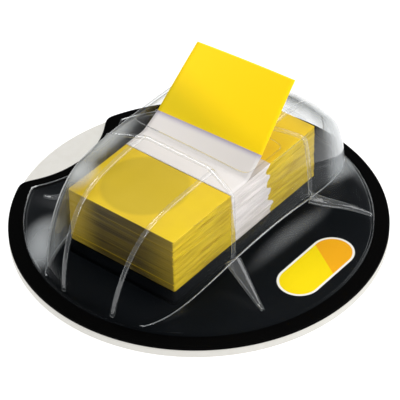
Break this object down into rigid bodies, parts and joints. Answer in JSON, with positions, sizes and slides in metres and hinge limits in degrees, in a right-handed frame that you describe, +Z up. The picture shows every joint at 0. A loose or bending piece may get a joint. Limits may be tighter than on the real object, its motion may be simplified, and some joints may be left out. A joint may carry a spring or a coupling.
{
  "type": "sticky index tab dispenser",
  "caption": "Low round desk dispenser: a clear domed cover on a black scalloped tray holds a block of index tabs, with one tab standing up through the cover's window.",
  "frame": {"origin": "centre of the round grip pad's underside, on the desk", "axes": "+Z up from the desk; Y along the index tabs; X across them, the tray's scallop on -X"},
  "size_m": [0.074, 0.074, 0.0327],
  "materials": {
    "grip": "soft matte tacky pad, cream white",
    "black_board": "black, matt margin, satin under the cover",
    "tabs": "stacked thin films, yellow ends and a greyish white middle",
    "tab_film": "satin film, yellow tip on a matt greyish white strip",
    "clear_film": "clear vacuum-formed plastic sheet, glossy"
  },
  "bodies": {
    "root": {"grip_pad": "grip", "base_tray": "black_board", "tab_block": "tabs", "popup_tab": "tab_film", "clear_cover": "clear_film"}
  },
  "joints": []
}
